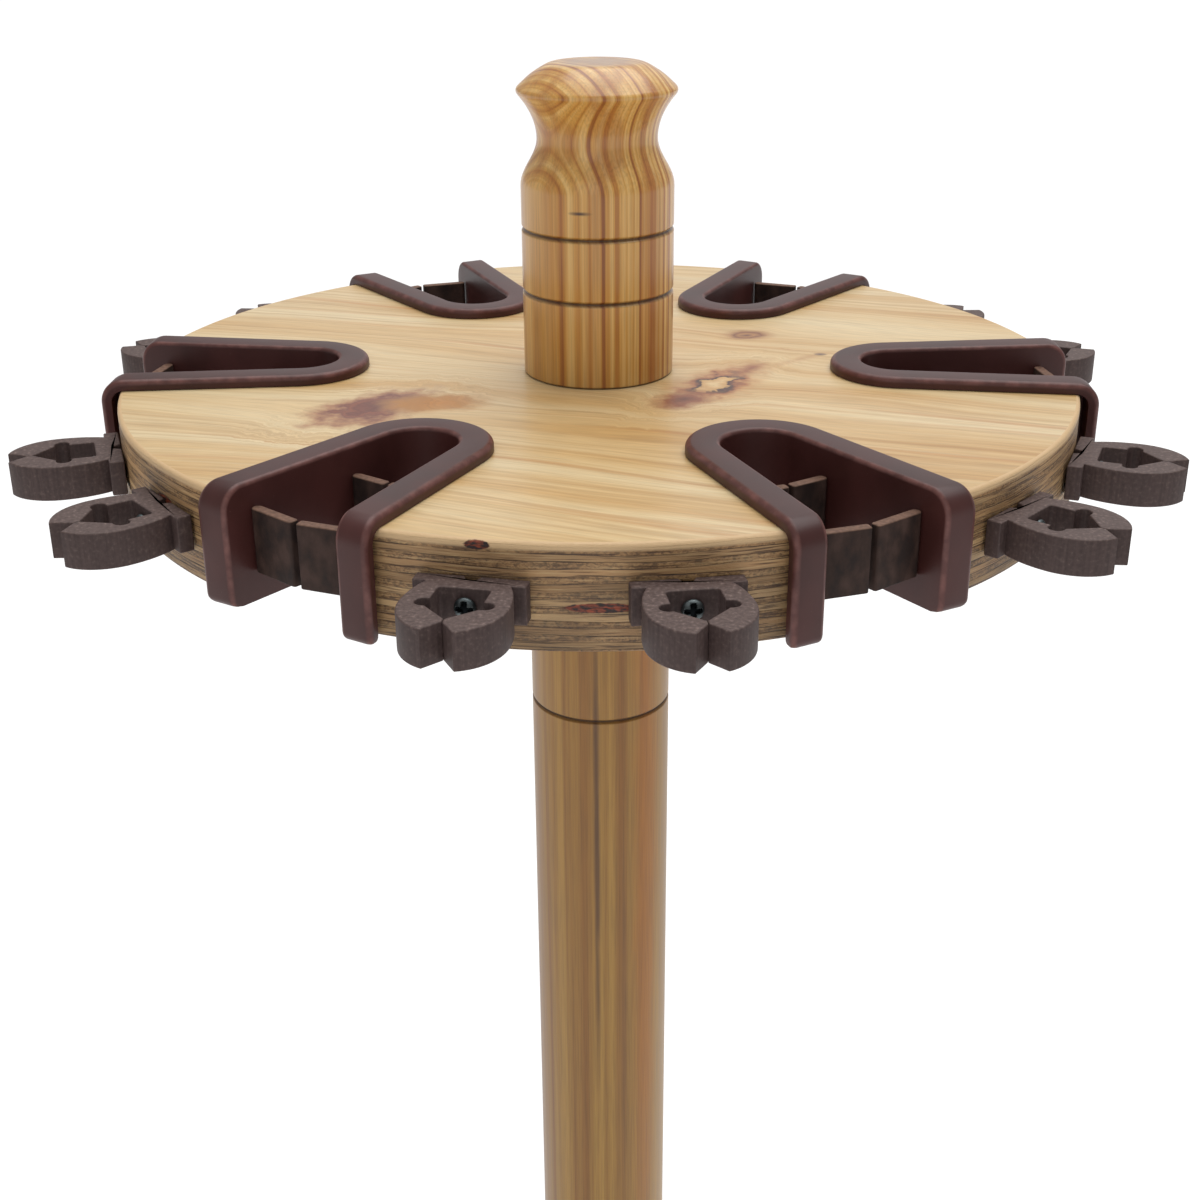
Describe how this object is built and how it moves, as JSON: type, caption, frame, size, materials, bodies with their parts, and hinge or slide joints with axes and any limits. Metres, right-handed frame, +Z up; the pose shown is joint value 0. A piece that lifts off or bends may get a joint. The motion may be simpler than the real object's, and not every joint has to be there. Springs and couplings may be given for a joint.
{
  "type": "round floor rack for shafts",
  "caption": "Free-standing round rack: a plywood disc on a turned post, with flap-lined slots and rim clips that hold long shafts upright, and a turned carrying knob.",
  "frame": {"origin": "on the floor, at the centre of the base disc", "axes": "+Z up along the post, +X out along slot 1"},
  "size_m": [0.4376, 0.4568, 0.92],
  "materials": {
    "plywood": "clear satin lacquer over pine-faced plywood",
    "post_wood": "turned softwood, satin lacquer",
    "knob_wood": "turned softwood, satin lacquer",
    "hanger_plastic": "moulded, satin gloss, dark red-brown",
    "flap_rubber": "moulded, matte dark brown",
    "clip_plastic": "extruded and sawn, matte grey-brown",
    "zinc_steel": "bright zinc"
  },
  "bodies": {
    "root": {"base_disc": "plywood", "base_stud": "zinc_steel", "post": "post_wood", "knob_stud": "zinc_steel", "top_disc": "plywood", "knob": "knob_wood", "hanger_1": "hanger_plastic", "hanger_2": "hanger_plastic", "hanger_3": "hanger_plastic", "hanger_4": "hanger_plastic", "hanger_5": "hanger_plastic", "hanger_6": "hanger_plastic", "clip_1": "clip_plastic", "clip_2": "clip_plastic", "clip_3": "clip_plastic", "clip_4": "clip_plastic", "clip_5": "clip_plastic", "clip_6": "clip_plastic", "clip_7": "clip_plastic", "clip_8": "clip_plastic", "clip_9": "clip_plastic", "clip_10": "clip_plastic", "clip_11": "clip_plastic", "clip_12": "clip_plastic", "clip_screw_1": "zinc_steel", "clip_screw_2": "zinc_steel", "clip_screw_3": "zinc_steel", "clip_screw_4": "zinc_steel", "clip_screw_5": "zinc_steel", "clip_screw_6": "zinc_steel", "clip_screw_7": "zinc_steel", "clip_screw_8": "zinc_steel", "clip_screw_9": "zinc_steel", "clip_screw_10": "zinc_steel", "clip_screw_11": "zinc_steel", "clip_screw_12": "zinc_steel"},
    "outer_flap_1_left": {"outer_flap_1_left": "flap_rubber"},
    "inner_flap_1_left": {"inner_flap_1_left": "flap_rubber"},
    "outer_flap_1_right": {"outer_flap_1_right": "flap_rubber"},
    "inner_flap_1_right": {"inner_flap_1_right": "flap_rubber"},
    "outer_flap_2_left": {"outer_flap_2_left": "flap_rubber"},
    "inner_flap_2_left": {"inner_flap_2_left": "flap_rubber"},
    "outer_flap_2_right": {"outer_flap_2_right": "flap_rubber"},
    "inner_flap_2_right": {"inner_flap_2_right": "flap_rubber"},
    "outer_flap_3_left": {"outer_flap_3_left": "flap_rubber"},
    "inner_flap_3_left": {"inner_flap_3_left": "flap_rubber"},
    "outer_flap_3_right": {"outer_flap_3_right": "flap_rubber"},
    "inner_flap_3_right": {"inner_flap_3_right": "flap_rubber"},
    "outer_flap_4_left": {"outer_flap_4_left": "flap_rubber"},
    "inner_flap_4_left": {"inner_flap_4_left": "flap_rubber"},
    "outer_flap_4_right": {"outer_flap_4_right": "flap_rubber"},
    "inner_flap_4_right": {"inner_flap_4_right": "flap_rubber"},
    "outer_flap_5_left": {"outer_flap_5_left": "flap_rubber"},
    "inner_flap_5_left": {"inner_flap_5_left": "flap_rubber"},
    "outer_flap_5_right": {"outer_flap_5_right": "flap_rubber"},
    "inner_flap_5_right": {"inner_flap_5_right": "flap_rubber"},
    "outer_flap_6_left": {"outer_flap_6_left": "flap_rubber"},
    "inner_flap_6_left": {"inner_flap_6_left": "flap_rubber"},
    "outer_flap_6_right": {"outer_flap_6_right": "flap_rubber"},
    "inner_flap_6_right": {"inner_flap_6_right": "flap_rubber"}
  },
  "joints": [
    {"name": "outer_flap_1_left_bend", "type": "hinge", "parent": "root", "child": "outer_flap_1_left", "pos_m": [0.1825, 0.0195, 0.7839], "axis": [0, 0, 1], "range_deg": [-60, 60], "stiffness_Nm_per_rad": 0.01},
    {"name": "inner_flap_1_left_bend", "type": "hinge", "parent": "root", "child": "inner_flap_1_left", "pos_m": [0.137, 0.01423, 0.7822], "axis": [0, 0, 1], "range_deg": [-60, 60], "stiffness_Nm_per_rad": 0.01},
    {"name": "outer_flap_1_right_bend", "type": "hinge", "parent": "root", "child": "outer_flap_1_right", "pos_m": [0.1825, -0.0195, 0.7839], "axis": [0, 0, 1], "range_deg": [-60, 60], "stiffness_Nm_per_rad": 0.01},
    {"name": "inner_flap_1_right_bend", "type": "hinge", "parent": "root", "child": "inner_flap_1_right", "pos_m": [0.137, -0.01423, 0.7822], "axis": [0, 0, 1], "range_deg": [-60, 60], "stiffness_Nm_per_rad": 0.01},
    {"name": "outer_flap_2_left_bend", "type": "hinge", "parent": "root", "child": "outer_flap_2_left", "pos_m": [0.07436, 0.1678, 0.7839], "axis": [0, 0, 1], "range_deg": [-60, 60], "stiffness_Nm_per_rad": 0.01},
    {"name": "inner_flap_2_left_bend", "type": "hinge", "parent": "root", "child": "inner_flap_2_left", "pos_m": [0.05617, 0.12576, 0.7822], "axis": [0, 0, 1], "range_deg": [-60, 60], "stiffness_Nm_per_rad": 0.01},
    {"name": "outer_flap_2_right_bend", "type": "hinge", "parent": "root", "child": "outer_flap_2_right", "pos_m": [0.10814, 0.1483, 0.7839], "axis": [0, 0, 1], "range_deg": [-60, 60], "stiffness_Nm_per_rad": 0.01},
    {"name": "inner_flap_2_right_bend", "type": "hinge", "parent": "root", "child": "inner_flap_2_right", "pos_m": [0.08083, 0.11153, 0.7822], "axis": [0, 0, 1], "range_deg": [-60, 60], "stiffness_Nm_per_rad": 0.01},
    {"name": "outer_flap_3_left_bend", "type": "hinge", "parent": "root", "child": "outer_flap_3_left", "pos_m": [-0.10814, 0.1483, 0.7839], "axis": [0, 0, 1], "range_deg": [-60, 60], "stiffness_Nm_per_rad": 0.01},
    {"name": "inner_flap_3_left_bend", "type": "hinge", "parent": "root", "child": "inner_flap_3_left", "pos_m": [-0.08083, 0.11153, 0.7822], "axis": [0, 0, 1], "range_deg": [-60, 60], "stiffness_Nm_per_rad": 0.01},
    {"name": "outer_flap_3_right_bend", "type": "hinge", "parent": "root", "child": "outer_flap_3_right", "pos_m": [-0.07436, 0.1678, 0.7839], "axis": [0, 0, 1], "range_deg": [-60, 60], "stiffness_Nm_per_rad": 0.01},
    {"name": "inner_flap_3_right_bend", "type": "hinge", "parent": "root", "child": "inner_flap_3_right", "pos_m": [-0.05617, 0.12576, 0.7822], "axis": [0, 0, 1], "range_deg": [-60, 60], "stiffness_Nm_per_rad": 0.01},
    {"name": "outer_flap_4_left_bend", "type": "hinge", "parent": "root", "child": "outer_flap_4_left", "pos_m": [-0.1825, -0.0195, 0.7839], "axis": [0, 0, 1], "range_deg": [-60, 60], "stiffness_Nm_per_rad": 0.01},
    {"name": "inner_flap_4_left_bend", "type": "hinge", "parent": "root", "child": "inner_flap_4_left", "pos_m": [-0.137, -0.01423, 0.7822], "axis": [0, 0, 1], "range_deg": [-60, 60], "stiffness_Nm_per_rad": 0.01},
    {"name": "outer_flap_4_right_bend", "type": "hinge", "parent": "root", "child": "outer_flap_4_right", "pos_m": [-0.1825, 0.0195, 0.7839], "axis": [0, 0, 1], "range_deg": [-60, 60], "stiffness_Nm_per_rad": 0.01},
    {"name": "inner_flap_4_right_bend", "type": "hinge", "parent": "root", "child": "inner_flap_4_right", "pos_m": [-0.137, 0.01423, 0.7822], "axis": [0, 0, 1], "range_deg": [-60, 60], "stiffness_Nm_per_rad": 0.01},
    {"name": "outer_flap_5_left_bend", "type": "hinge", "parent": "root", "child": "outer_flap_5_left", "pos_m": [-0.07436, -0.1678, 0.7839], "axis": [0, 0, 1], "range_deg": [-60, 60], "stiffness_Nm_per_rad": 0.01},
    {"name": "inner_flap_5_left_bend", "type": "hinge", "parent": "root", "child": "inner_flap_5_left", "pos_m": [-0.05617, -0.12576, 0.7822], "axis": [0, 0, 1], "range_deg": [-60, 60], "stiffness_Nm_per_rad": 0.01},
    {"name": "outer_flap_5_right_bend", "type": "hinge", "parent": "root", "child": "outer_flap_5_right", "pos_m": [-0.10814, -0.1483, 0.7839], "axis": [0, 0, 1], "range_deg": [-60, 60], "stiffness_Nm_per_rad": 0.01},
    {"name": "inner_flap_5_right_bend", "type": "hinge", "parent": "root", "child": "inner_flap_5_right", "pos_m": [-0.08083, -0.11153, 0.7822], "axis": [0, 0, 1], "range_deg": [-60, 60], "stiffness_Nm_per_rad": 0.01},
    {"name": "outer_flap_6_left_bend", "type": "hinge", "parent": "root", "child": "outer_flap_6_left", "pos_m": [0.10814, -0.1483, 0.7839], "axis": [0, 0, 1], "range_deg": [-60, 60], "stiffness_Nm_per_rad": 0.01},
    {"name": "inner_flap_6_left_bend", "type": "hinge", "parent": "root", "child": "inner_flap_6_left", "pos_m": [0.08083, -0.11153, 0.7822], "axis": [0, 0, 1], "range_deg": [-60, 60], "stiffness_Nm_per_rad": 0.01},
    {"name": "outer_flap_6_right_bend", "type": "hinge", "parent": "root", "child": "outer_flap_6_right", "pos_m": [0.07436, -0.1678, 0.7839], "axis": [0, 0, 1], "range_deg": [-60, 60], "stiffness_Nm_per_rad": 0.01},
    {"name": "inner_flap_6_right_bend", "type": "hinge", "parent": "root", "child": "inner_flap_6_right", "pos_m": [0.05617, -0.12576, 0.7822], "axis": [0, 0, 1], "range_deg": [-60, 60], "stiffness_Nm_per_rad": 0.01}
  ]
}
